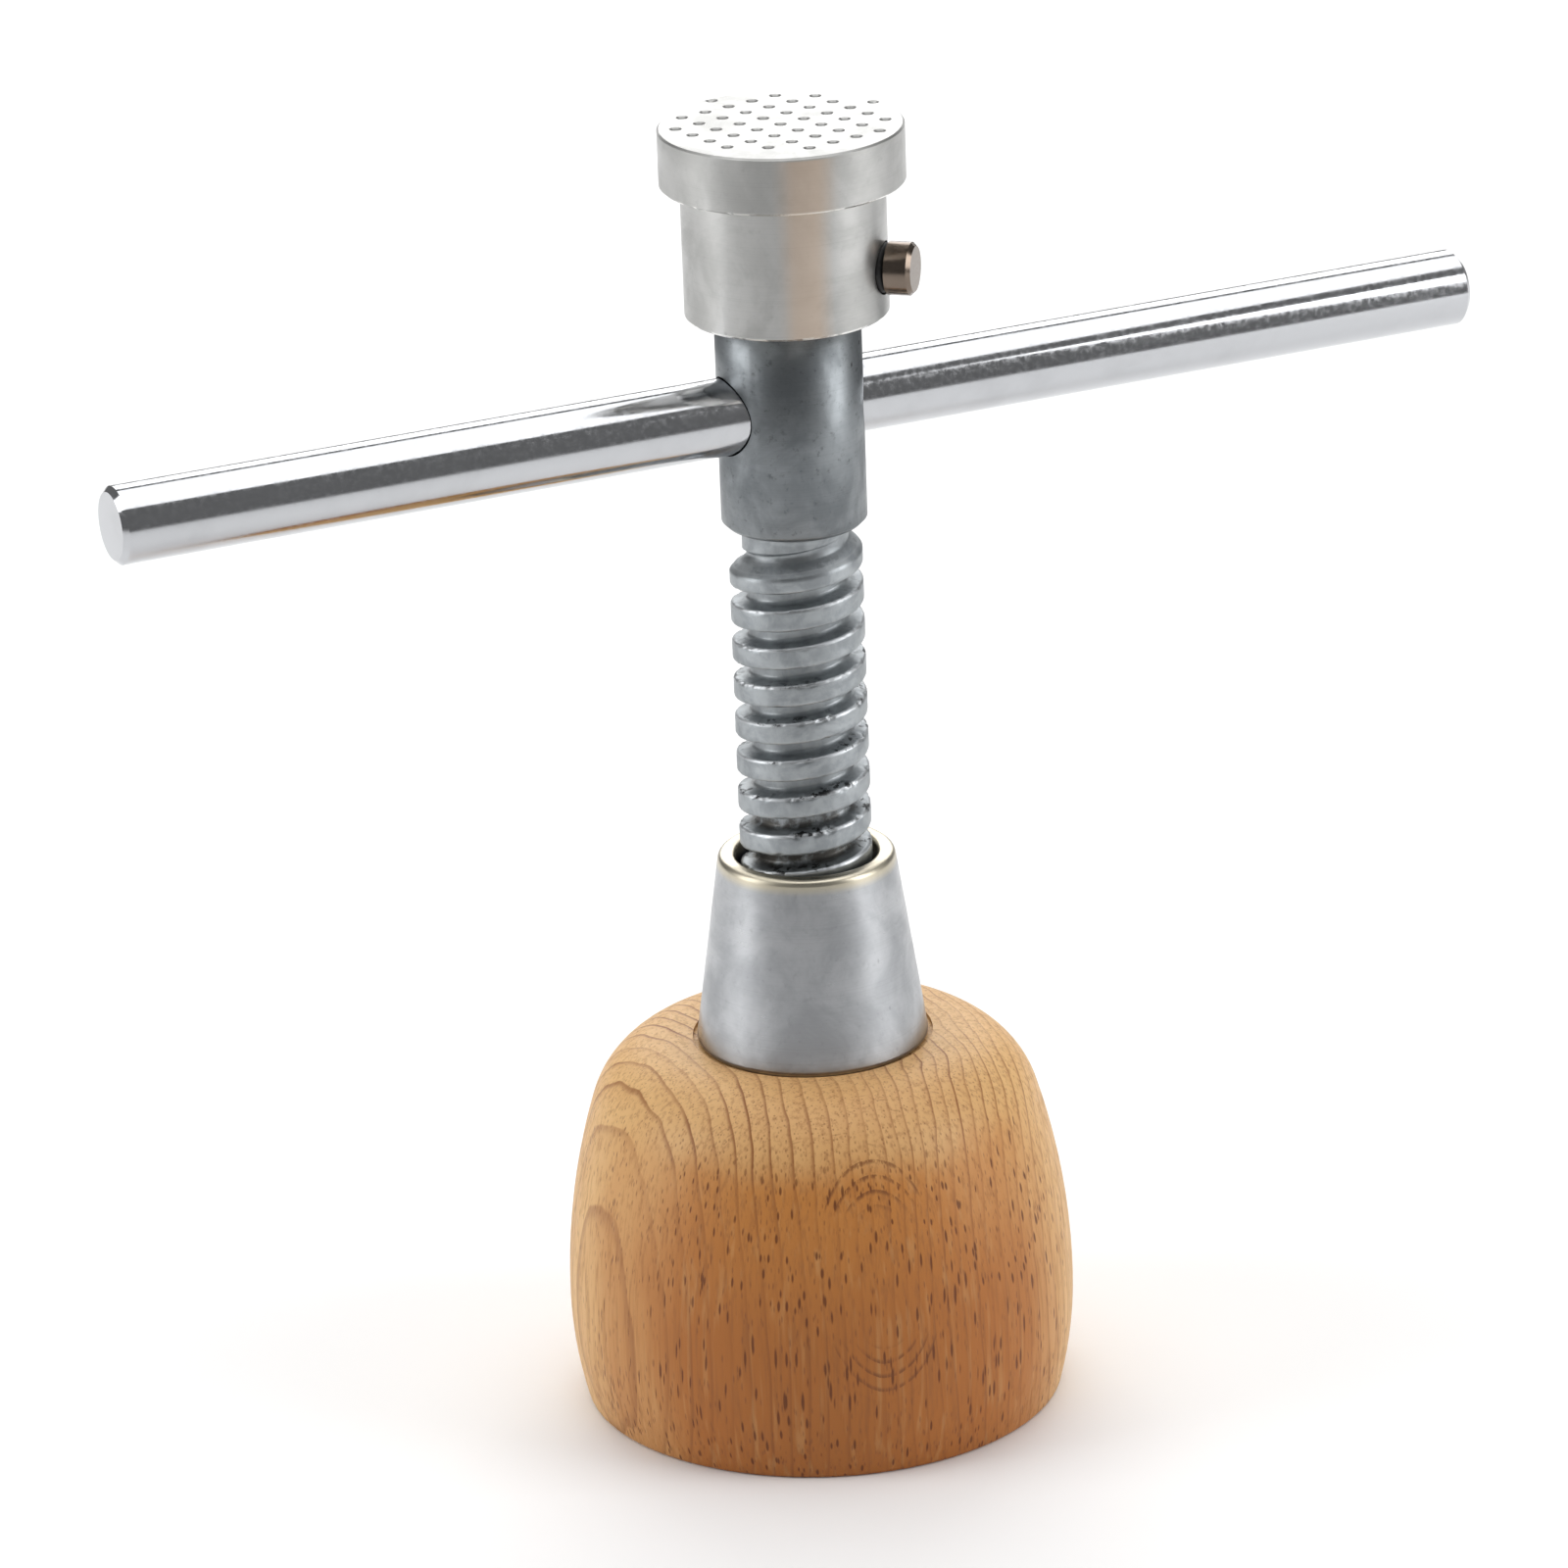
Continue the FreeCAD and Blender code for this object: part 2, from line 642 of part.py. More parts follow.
# Pull pin, its O-ring, and the washer between the cap and the spindle's top.
cap_pin = turned(
    "cap_pin",
    [
        ("Size.pin_tip", "0"),
        ("Size.pin_end", "0"),
        ("Size.pin_end", "Size.pin_radius - Size.pin_chamfer"),
        ("Size.pin_end - Size.pin_chamfer", "Size.pin_radius"),
        ("Size.pin_groove_outer", "Size.pin_radius"),
        ("Size.pin_groove_outer", "Size.pin_groove_floor"),
        ("Size.pin_groove_inner", "Size.pin_groove_floor"),
        ("Size.pin_groove_inner", "Size.pin_radius"),
        ("Size.pin_shoulder", "Size.pin_radius"),
        ("Size.pin_shoulder", "Size.pin_tip_radius"),
        ("Size.pin_tip + Size.pin_chamfer", "Size.pin_tip_radius"),
        ("Size.pin_tip", "Size.pin_tip_radius - Size.pin_chamfer"),
    ],
    "H_Axis",
)
about_up = FreeCAD.Rotation(FreeCAD.Vector(0, 0, 1), number("Size.pin_azimuth"))
cap_pin.Placement.Rotation = about_up
cap_pin.setExpression("Placement.Base.z", "Size.pin_level")
o_ring = doc.addObject("Part::Torus", "cap_pin_o_ring")
o_ring.setExpression("Radius1", "Size.o_ring_radius")
o_ring.setExpression("Radius2", "Size.o_ring_half")
o_ring.Placement.Rotation = about_up * FreeCAD.Rotation(FreeCAD.Vector(0, 1, 0), 90)
o_ring.setExpression("Placement.Base.x", "Size.o_ring_middle * cos(Size.pin_azimuth)")
o_ring.setExpression("Placement.Base.y", "Size.o_ring_middle * sin(Size.pin_azimuth)")
o_ring.setExpression("Placement.Base.z", "Size.pin_level")
tube(
    "cap_thrust_washer",
    "Size.cap_washer_bore",
    "Size.cap_washer_radius",
    "Size.cap_washer_bottom",
    "Size.cap_washer_thickness",
)

# Presser foot: a dished disc with a recess below for its washer and screw.
foot = turned(
    "presser_foot",
    [
        ("Size.foot_recess_radius", "Size.foot_dish"),
        ("Size.foot_radius - Size.foot_rim", "0"),
        ("Size.foot_radius", "0"),
        ("Size.foot_radius", "Size.foot_thickness - Size.foot_chamfer"),
        ("Size.foot_radius - Size.foot_chamfer", "Size.foot_thickness"),
        ("Size.foot_bore_radius", "Size.foot_thickness"),
        ("Size.foot_bore_radius", "Size.foot_recess_depth"),
        ("Size.foot_recess_radius", "Size.foot_recess_depth"),
    ],
)
foot.setExpression("Placement.Base.z", "Size.foot_bottom")
tube(
    "foot_thrust_washer",
    "Size.thrust_washer_bore",
    "Size.thrust_washer_radius",
    "Size.thrust_washer_bottom",
    "Size.thrust_washer_thickness",
)
tube(
    "foot_washer",
    "Size.foot_screw_radius + 0.1",
    "Size.foot_washer_radius",
    "Size.foot_washer_bottom",
    "Size.foot_washer_thickness",
)
screw = turned(
    "foot_screw",
    [
        ("0", "0"),
        ("Size.foot_screw_head_radius", "0"),
        ("Size.foot_screw_head_radius", "Size.foot_screw_head_height"),
        ("Size.foot_screw_radius", "Size.foot_screw_head_height"),
        ("Size.foot_screw_radius", "Size.foot_screw_head_height + Size.foot_screw_length"),
        ("0", "Size.foot_screw_head_height + Size.foot_screw_length"),
    ],
)
rounded(screw, "Size.foot_screw_head_radius", "0", "0.5", "Chamfer")
socket = add_hexagon(screw, "foot_screw_hexagon", "0", "3")
cut = pocket(screw, socket, "Size.foot_screw_socket")
cut.Reversed = True
screw.setExpression("Placement.Base.z", "Size.foot_screw_bottom")

doc.recompute()

bodies = [item for item in doc.Objects if item.TypeId == "PartDesign::Body"]
parts = bodies + [key, o_ring]
for item in doc.Objects:
    if "Invalid" in item.State or "Error" in item.State:
        raise RuntimeError("%s did not recompute: %s" % (item.Label, item.State))
for part in parts:
    shape = part.Shape
    if shape.isNull() or not shape.isValid() or len(shape.Solids) != 1:
        raise RuntimeError("%s is not one valid solid" % part.Label)
    shape.exportStep("parts/%s.step" % part.Label)
    print("%-22s %10.1f mm3" % (part.Label, shape.Volume))
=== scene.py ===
import math

import bmesh
import bpy
from mathutils import Matrix, Vector, noise


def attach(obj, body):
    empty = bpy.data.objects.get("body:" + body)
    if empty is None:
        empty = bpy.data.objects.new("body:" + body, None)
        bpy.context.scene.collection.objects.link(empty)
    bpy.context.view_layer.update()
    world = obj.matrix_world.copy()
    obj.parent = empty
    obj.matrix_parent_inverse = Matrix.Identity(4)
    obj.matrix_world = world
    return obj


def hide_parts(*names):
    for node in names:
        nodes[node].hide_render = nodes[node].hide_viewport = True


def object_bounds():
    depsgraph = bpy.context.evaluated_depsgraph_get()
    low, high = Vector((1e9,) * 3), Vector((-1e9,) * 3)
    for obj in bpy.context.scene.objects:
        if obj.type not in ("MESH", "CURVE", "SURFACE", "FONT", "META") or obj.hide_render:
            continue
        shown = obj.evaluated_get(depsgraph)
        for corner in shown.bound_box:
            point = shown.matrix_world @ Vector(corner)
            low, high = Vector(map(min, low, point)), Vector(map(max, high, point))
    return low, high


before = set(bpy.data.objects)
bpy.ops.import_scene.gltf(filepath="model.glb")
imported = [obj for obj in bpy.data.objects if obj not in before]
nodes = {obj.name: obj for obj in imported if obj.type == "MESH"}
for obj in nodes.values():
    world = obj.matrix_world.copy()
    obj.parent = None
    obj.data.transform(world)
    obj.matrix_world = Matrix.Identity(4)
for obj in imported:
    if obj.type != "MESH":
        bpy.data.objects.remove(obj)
cad_low, cad_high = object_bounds()
MM = 0.001


# ---------------------------------------------------------------- node helpers
class Graph:
    """A small writer for shader node trees."""

    def __init__(self, name):
        self.material = bpy.data.materials.new(name)
        self.material.use_nodes = True
        self.tree = self.material.node_tree
        self.tree.nodes.clear()
        self.output = self.tree.nodes.new("ShaderNodeOutputMaterial")
        self.shader = self.tree.nodes.new("ShaderNodeBsdfPrincipled")
        self.link(self.shader.outputs[0], self.output.inputs["Surface"])

    def link(self, source, target):
        self.tree.links.new(source, target)

    def put(self, target, value):
        """Link a socket, or set a plain value on it."""
        if isinstance(value, bpy.types.NodeSocket):
            self.link(value, target)
        elif isinstance(value, (tuple, list)) and target.type == "RGBA" and len(value) == 3:
            target.default_value = (*value, 1.0)
        else:
            target.default_value = value

    def node(self, kind, **settings):
        made = self.tree.nodes.new("ShaderNode" + kind)
        for name, value in settings.items():
            setattr(made, name, value)
        return made

    def place(self):
        """The point's position on the object, in metres."""
        return self.node("TexCoord").outputs["Object"]

    def scaled(self, vector, scale, location=(0, 0, 0)):
        mapping = self.node("Mapping")
        self.put(mapping.inputs["Vector"], vector)
        mapping.inputs["Scale"].default_value = scale
        mapping.inputs["Location"].default_value = location
        return mapping.outputs[0]

    def math(self, operation, a, b=0.0, c=0.0):
        made = self.node("Math", operation=operation)
        for socket, value in zip(made.inputs, (a, b, c)):
            self.put(socket, value)
        return made.outputs[0]

    def vector_math(self, operation, a, b=(0, 0, 0)):
        made = self.node("VectorMath", operation=operation)
        self.put(made.inputs[0], a)
        self.put(made.inputs[1], b)
        return made.outputs["Value" if operation == "LENGTH" else "Vector"]

    def split(self, vector):
        made = self.node("SeparateXYZ")
        self.put(made.inputs[0], vector)
        return made.outputs

    def join(self, x, y, z):
        made = self.node("CombineXYZ")
        for socket, value in zip(made.inputs, (x, y, z)):
            self.put(socket, value)
        return made.outputs[0]

    def noise(self, vector, scale, detail=3.0, roughness=0.55, distortion=0.0, w=None):
        made = self.node("TexNoise", noise_dimensions="4D" if w is not None else "3D")
        self.put(made.inputs["Vector"], vector)
        made.inputs["Scale"].default_value = scale
        made.inputs["Detail"].default_value = detail
        made.inputs["Roughness"].default_value = roughness
        made.inputs["Distortion"].default_value = distortion
        if w is not None:
            made.inputs["W"].default_value = w
        return made.outputs[0]

    def cells(self, vector, scale):
        made = self.node("TexVoronoi", feature="F1")
        self.put(made.inputs["Vector"], vector)
        made.inputs["Scale"].default_value = scale
        made.inputs["Randomness"].default_value = 1.0
        return made.outputs["Distance"]

    def remap(self, value, low, high, to_low=0.0, to_high=1.0):
        """Smoothly carry low..high to to_low..to_high."""
        made = self.node("MapRange", interpolation_type="SMOOTHSTEP")
        self.put(made.inputs["Value"], value)
        names = ("From Min", "From Max", "To Min", "To Max")
        for name, number in zip(names, (low, high, to_low, to_high)):
            self.put(made.inputs[name], number)
        return made.outputs[0]

    def mix(self, factor, first, second):
        made = self.node("Mix", data_type="RGBA", blend_type="MIX")
        self.put(made.inputs["Factor"], factor)
        self.put(made.inputs["A"], first)
        self.put(made.inputs["B"], second)
        return made.outputs["Result"]

    def bump(self, height, strength, distance, normal=None):
        made = self.node("Bump")
        self.put(made.inputs["Height"], height)
        made.inputs["Strength"].default_value = strength
        made.inputs["Distance"].default_value = distance
        if normal is not None:
            self.put(made.inputs["Normal"], normal)
        return made.outputs[0]

    def colour(self):
        """The socket that the shader's colour comes from."""
        return self.shader.inputs["Base Color"].links[0].from_socket

    def set(self, **values):
        names = {"colour": "Base Color", "specular": "Specular IOR Level"}
        for name, value in values.items():
            self.put(self.shader.inputs[names.get(name, name.capitalize())], value)


def around(g, point, centre):
    """(distance from an upright line, angle about it, height), in millimetres and radians."""
    x, y, z = g.split(g.vector_math("MULTIPLY", point, (1000, 1000, 1000)))
    x = g.math("SUBTRACT", x, centre[0])
    y = g.math("SUBTRACT", y, centre[1])
    squares = g.math("ADD", g.math("MULTIPLY", x, x), g.math("MULTIPLY", y, y))
    return g.math("SQRT", squares), g.math("ARCTAN2", y, x), z


def paint(node, material):
    """Give a CAD node's every slot this material."""
    for place in nodes[node].material_slots:
        place.link = "OBJECT"
        place.material = material


def darker(colour, factor):
    """A colour with less light in it."""
    return tuple(part * factor for part in colour)


# ---------------------------------------------------------------- metals
def turned_metal(name, colour, tint, rough, seed, fine=0.05, mottle=0.3, warm=None, nicks=0.3):
    """Metal turned about the upright axis: fine rings, cloudy tone, specks and small nicks."""
    g = Graph(name)
    p = g.place()
    radius, angle, z = around(g, p, (0, 0))
    ring = g.join(g.math("MULTIPLY", angle, 0.5), radius, z)
    rings = g.noise(g.scaled(ring, (0.7, 6.0, 6.0)), 1.0, 3.0, 0.75)
    cloud = g.noise(p, 110.0, 5.0, 0.62, 0.6, w=seed)
    spots = g.noise(p, 760.0, 4.0, 0.7, 0.0, w=seed + 3.1)
    tone = g.mix(g.remap(cloud, 0.36, 0.64), colour, tint)
    tone = g.mix(g.math("MULTIPLY", g.remap(spots, 0.55, 0.72), mottle), tone, darker(tint, 0.55))
    tone = g.mix(g.math("MULTIPLY", g.remap(rings, 0.50, 0.75), 0.22), tone, darker(tint, 0.7))
    for patch_colour, amount, centre, spread in warm or ():
        away = g.vector_math("SUBTRACT", p, centre)
        distance = g.vector_math("LENGTH", away)
        patch = g.remap(g.math("ADD", distance, g.math("MULTIPLY", cloud, 0.006)), spread, spread * 0.25)
        tone = g.mix(g.math("MULTIPLY", patch, amount), tone, patch_colour)
    marks = g.cells(g.scaled(p, (1, 1, 0.6)), 420.0)
    pick = g.noise(p, 190.0, 2.0, 0.5, 0.0, w=seed + 1.3)
    nick = g.math("MULTIPLY", g.remap(marks, 0.14, 0.05), g.remap(pick, 0.56, 0.64))
    tone = g.mix(g.math("MULTIPLY", nick, nicks), tone, (0.04, 0.04, 0.04))
    swing = g.math("MULTIPLY", g.math("SUBTRACT", rings, 0.5), 0.16)
    g.set(roughness=g.math("ADD", g.remap(cloud, 0.3, 0.7, rough - 0.05, rough + 0.07), swing))
    normal = g.bump(rings, fine, 0.00006)
    normal = g.bump(g.math("SUBTRACT", 1.0, nick), 0.3 * nicks, 0.00008, normal)
    g.set(colour=tone, metallic=1.0, normal=normal)
    return g


def plain_metal(name, colour, rough, mottle=0.4, scale=300.0, bump=0.08, seed=0.0):
    """Machined metal with a cloudy tone and fine scratches that follow no axis."""
    g = Graph(name)
    p = g.place()
    cloud = g.noise(p, scale, 5.0, 0.6, 0.4, w=seed)
    grain = g.noise(p, scale * 9, 3.0, 0.7, 0.0, w=seed + 2)
    tone = g.mix(g.math("MULTIPLY", g.remap(cloud, 0.42, 0.75), mottle), colour, darker(colour, 0.5))
    g.set(colour=tone, metallic=1.0, normal=g.bump(grain, bump, 0.00004))
    g.set(roughness=g.remap(grain, 0.3, 0.7, rough - 0.05, rough + 0.08))
    return g


# ---------------------------------------------------------------- beech
# The log's pith lay beside the block. Rings are counted outwards from NEAREST_RING. FIGURE is the
# middle of a buried knot's figure, and the point after it the middle of the painted shade on the block's
# front. All are in millimetres.
PITH = (-97.0, -3.0)
NEAREST_RING = 56.0
RINGS_PER_MM = 0.27
RING_CROWDING = 0.0016
FIGURE = (-6.9, -38.3, 33.0)
SHADED_FRONT = (-14.0, -40.0, 18.0)
RAY_RADIUS = 92.0
PALE_WOOD = (0.700, 0.430, 0.180)
MIDDLE_WOOD = (0.540, 0.222, 0.054)
RED_WOOD = (0.370, 0.118, 0.023)
SHEEN_AND_DRY_WOOD = (0.720, 0.455, 0.205)
RING_LINE = (0.235, 0.078, 0.022)
DARK_FIBRE = (0.270, 0.105, 0.036)
LIGHT_FIBRE = (0.640, 0.370, 0.150)
PORE = (0.200, 0.075, 0.028)
FLECK = (0.125, 0.034, 0.009)
RAY = (0.190, 0.070, 0.025)
KNOT_LINE = (0.190, 0.066, 0.022)


def beech():
    """Oiled beech: growth rings round the pith, ray flecks along the grain, fine fibres."""
    g = Graph("beech")
    p = g.place()
    reach, angle, z = around(g, p, PITH)
    drift = g.noise(g.scaled(p, (40, 40, 12)), 1.0, 3.0, 0.5, 0.3)
    ripple = g.noise(g.scaled(p, (160, 160, 30)), 1.0, 2.0, 0.5)
    bent = g.math("ADD", reach, g.math("MULTIPLY", g.math("SUBTRACT", drift, 0.5), 7.0))
    bent = g.math("ADD", bent, g.math("MULTIPLY", g.math("SUBTRACT", ripple, 0.5), 0.5))
    away = g.math("SUBTRACT", bent, NEAREST_RING)
    count = g.math("MULTIPLY", away, g.math("MULTIPLY_ADD", away, RING_CROWDING, RINGS_PER_MM))
    ring = g.math("FRACT", count)
    white = g.node("TexWhiteNoise", noise_dimensions="1D")
    g.put(white.inputs["W"], g.math("FLOOR", count))
    line = g.math("MULTIPLY", g.remap(ring, 0.76, 0.95), g.remap(ring, 1.0, 0.965))
    weight = g.math("MULTIPLY_ADD", white.outputs["Value"], 0.50, 0.50)
    fade = g.remap(g.noise(g.scaled(p, (55, 55, 40)), 1.0, 2.0, 0.5, 0.0, w=4.0), 0.34, 0.60, 0.45, 1.0)
    line = g.math("MULTIPLY", g.math("MULTIPLY", line, weight), fade)
    late = g.math("MULTIPLY", g.remap(ring, 0.1, 0.95), 0.15)

    # colour: painted shade, the middle of the front and its lower part redder and darker, the sides
    # paler as if lit
    cloud = g.noise(g.scaled(p, (24, 24, 11)), 1.0, 4.0, 0.55, 0.4, w=2.0)
    inward = g.vector_math("SUBTRACT", p, tuple(v * MM for v in SHADED_FRONT))
    inward = g.vector_math("LENGTH", g.vector_math("MULTIPLY", inward, (1000.0, 1000.0, 800.0)))
    shaded_front = g.remap(g.math("ADD", inward, g.math("MULTIPLY", cloud, 34.0)), 68.0, 42.0)
    tone = g.mix(shaded_front, PALE_WOOD, MIDDLE_WOOD)
    low_part = g.remap(g.math("ADD", z, g.math("MULTIPLY", cloud, 24.0)), 66.0, 34.0)
    tone = g.mix(g.math("MULTIPLY", g.math("MULTIPLY", shaded_front, low_part), 0.75), tone, RED_WOOD)
    # painted sheen of the light from above, over drier end grain: the top paler and less saturated
    up = g.remap(g.math("ADD", z, g.math("MULTIPLY", cloud, 16.0)), 54.0, 60.0)
    tone = g.mix(g.math("MULTIPLY", up, 0.65), tone, SHEEN_AND_DRY_WOOD)
    tone = g.mix(late, tone, RED_WOOD)
    line = g.math("MULTIPLY", line, g.math("MULTIPLY_ADD", up, 0.45, 0.55))
    tone = g.mix(line, tone, RING_LINE)

    # fibres and pores along the grain
    fibre = g.noise(g.scaled(p, (1500, 1500, 60)), 1.0, 3.0, 0.65)
    tone = g.mix(g.remap(fibre, 0.46, 0.70, 0.0, 0.42), tone, DARK_FIBRE)
    shine = g.noise(g.scaled(p, (900, 900, 50)), 1.0, 2.0, 0.5, 0.0, w=9.0)
    tone = g.mix(g.remap(shine, 0.52, 0.75, 0.0, 0.30), tone, LIGHT_FIBRE)
    pores = g.cells(g.scaled(p, (1, 1, 0.20)), 1500.0)
    tone = g.mix(g.remap(pores, 0.28, 0.10, 0.0, 0.55), tone, PORE)

    # ray flecks: upright dashes, and fainter streaks towards the pith on the top
    tilt = g.noise(g.scaled(p, (45, 45, 45)), 1.0, 1.0, 0.5, 0.0, w=6.0)
    along = g.math("MULTIPLY", angle, RAY_RADIUS)
    along = g.math("ADD", along, g.math("MULTIPLY", g.math("SUBTRACT", tilt, 0.5), 5.0))
    dash = g.join(g.math("DIVIDE", along, 1.2), g.math("DIVIDE", reach, 1.2), g.math("DIVIDE", z, 9.0))
    second = g.scaled(dash, (1.15, 1.1, 1.35), (3.3, 7.1, 5.7))
    speck = g.math("MINIMUM", g.cells(dash, 1.0), g.cells(second, 1.0))
    size = g.noise(g.scaled(p, (70, 70, 26)), 1.0, 2.0, 0.5, 0.0, w=7.0)
    limit = g.remap(g.math("ADD", size, g.math("MULTIPLY", shaded_front, 0.16)), 0.34, 0.66, 0.05, 0.24)
    fleck = g.remap(speck, limit, g.math("MULTIPLY", limit, 0.5))
    fleck = g.math("MULTIPLY", fleck, g.math("MULTIPLY_ADD", up, -0.75, 1.0))
    tone = g.mix(g.math("MULTIPLY", fleck, 0.85), tone, FLECK)
    ray = g.join(g.math("DIVIDE", along, 0.8), g.math("DIVIDE", reach, 5.0), g.math("DIVIDE", z, 4.0))
    streak = g.remap(g.cells(ray, 1.0), 0.19, 0.09)
    tone = g.mix(g.math("MULTIPLY", g.math("MULTIPLY", streak, up), 0.28), tone, RAY)

    # a buried knot's figure: short arcs above and below its middle
    spot = tuple(v * MM for v in FIGURE)
    off = g.vector_math("MULTIPLY", g.vector_math("SUBTRACT", p, spot), (1900.0, 900.0, 1000.0))
    oval = g.vector_math("LENGTH", off)
    drop = g.split(off)[2]
    wave = g.math("ADD", oval, g.math("MULTIPLY", g.math("SUBTRACT", ripple, 0.5), 1.2))
    arcs = g.remap(g.math("FRACT", g.math("DIVIDE", wave, 2.3)), 0.62, 0.9)
    band = g.math("MULTIPLY", g.remap(oval, 9.0, 12.5), g.remap(oval, 21.0, 17.5))
    ends = g.remap(g.math("ABSOLUTE", drop), 9.0, 12.5)
    broken = g.remap(fibre, 0.38, 0.55)
    arcs = g.math("MULTIPLY", g.math("MULTIPLY", arcs, band), g.math("MULTIPLY", ends, broken))
    tone = g.mix(g.math("MULTIPLY", arcs, 0.80), tone, KNOT_LINE)

    rough = g.remap(fibre, 0.3, 0.7, 0.40, 0.54)
    height = g.math("MULTIPLY_ADD", fibre, 0.35, g.math("MULTIPLY", fleck, -0.8))
    height = g.math("ADD", height, g.math("MULTIPLY", line, -0.25))
    g.set(colour=tone, roughness=rough, normal=g.bump(height, 0.30, 0.00012), specular=0.28)
    return g


# ---------------------------------------------------------------- worn spindle
# Lengths are in millimetres. Turns are counted up the groove from GROOVE_START.
PITCH = 6.0
TIP = 7.35
TIP_TOP = 45.0
TIP_SLOPE = 1.5
CREST = 10.1
ROOT = 7.45
CREST_HALF = 1.6
MOUTH = PITCH / 2 - CREST_HALF
FLANK = 0.5
FILLET = 0.35
EASE = 0.16
CHIP_DEPTH = 0.62
RIPPLE_DEPTH = 0.06
GROOVE_START = 37.9
NECK = 8.05
RIDGE_TURNS = 16.22
RUN_OUT = 0.17
LAST_SLOPE = 16.15
THREAD_LOW = 44.5
THREAD_HIGH = 140.0
STEPS = 144
HEAD_BOTTOM = 141.5


def between(value, low, high):
    """0 below low, 1 above high, smooth between."""
    t = min(1.0, max(0.0, (value - low) / (high - low)))
    return t * t * (3 - 2 * t)


def envelope(z):
    """The turned blank's radius at a height, before the groove is cut."""
    if z < TIP_TOP:
        return TIP
    if z < TIP_TOP + TIP_SLOPE:
        return TIP + (CREST - TIP) * (z - TIP_TOP) / TIP_SLOPE
    return CREST


def thread_radius(turns, offset, z):
    """Radius at a distance from the groove's middle, with eased and nicked crest edges."""
    side = abs(offset)
    base = MOUTH - FLANK
    if side <= base:
        depth = 1.0
    elif side >= MOUTH:
        depth = 0.0
    else:
        depth = (MOUTH - side) / FLANK
    fillet = FILLET * between(side, base - FILLET, base) * (1.0 - between(side, base, base + 0.2))
    ease = 0.0
    if side >= MOUTH - 0.02:
        ease = EASE * (1.0 - between(side, MOUTH - 0.02, MOUTH + 0.34))
    radius = CREST - (CREST - ROOT) * depth + fillet - ease
    if side >= MOUTH - 0.1:
        angle = turns * 2 * math.pi
        spot = Vector((math.cos(angle) * 9.0, math.sin(angle) * 9.0, z * 0.8))
        wear = noise.noise(spot * 0.75 + Vector((5.0, 1.0, 2.0)))
        bite = noise.noise(spot * 2.6)
        worn = between(wear, -0.05, 0.25) * between(bite, 0.02, 0.30)
        upper = 1.0 if offset < 0 else 0.35
        used = 0.35 + 0.65 * between(-z, -128.0, -108.0)
        edge = 1.0 - between(side, MOUTH + 0.1, MOUTH + 0.7)
        radius -= CHIP_DEPTH * worn * upper * used * edge
        radius -= RIPPLE_DEPTH * abs(noise.noise(spot * 1.4))
    # the last ridge slopes up into the neck and runs out, and its groove fades into the neck
    beyond = turns if offset > 0 else turns - 1.0
    ridge = min(1.0, max(0.0, (RIDGE_TURNS - beyond) / RUN_OUT))
    fade = between(turns, RIDGE_TURNS + 0.3, RIDGE_TURNS + 0.7)
    radius = max(radius, ROOT + (NECK - ROOT) * fade)
    if offset < 0 and turns > LAST_SLOPE:
        cone = NECK + (CREST - NECK) * min(1.0, max(0.0, (-offset - 0.5) / 1.9))
        radius += (cone - radius) * between(turns, LAST_SLOPE, LAST_SLOPE + 0.35)
    return min(radius, NECK + (CREST - NECK) * ridge)


def threaded_rod():
    """The thread as one helical ribbon, the rows of which run along the groove."""
    base = MOUTH - FLANK
    profile = [0.0, base * 0.5, base - 0.3, base - 0.12, base, base + 0.17, MOUTH - 0.12, MOUTH]
    profile += [MOUTH + 0.12, MOUTH + 0.28, MOUTH + 0.5, MOUTH + 0.8, (MOUTH + PITCH / 2) / 2 + 0.3]
    offsets = sorted({-v for v in profile} | set(profile) | {-PITCH / 2})
    first = math.floor((THREAD_LOW - GROOVE_START) / PITCH - 1.5) * STEPS
    last = math.ceil((THREAD_HIGH - GROOVE_START) / PITCH + 1.5) * STEPS
    points = []
    for step in range(first, last + 1):
        turns = step / STEPS
        angle = turns * 2 * math.pi
        for offset in offsets:
            z = GROOVE_START + turns * PITCH + offset
            z = min(THREAD_HIGH, max(THREAD_LOW, z))
            radius = min(envelope(z), thread_radius(turns, offset, z))
            points.append((radius * math.cos(angle) * MM, radius * math.sin(angle) * MM, z * MM))
    width = len(offsets)
    total = last - first + 1
    faces = []

    def index(step, column):
        if column < width:
            return step * width + column
        return (step + STEPS) * width

    for step in range(total - 1 - STEPS):
        for column in range(width):
            ring = [index(step, column), index(step + 1, column)]
            ring += [index(step + 1, column + 1), index(step, column + 1)]
            heights = [points[i][2] for i in ring]
            if max(heights) - min(heights) > 1e-8:
                faces.append(ring)
    mesh = bpy.data.meshes.new("threaded_rod")
    mesh.from_pydata(points, [], faces)
    return mesh


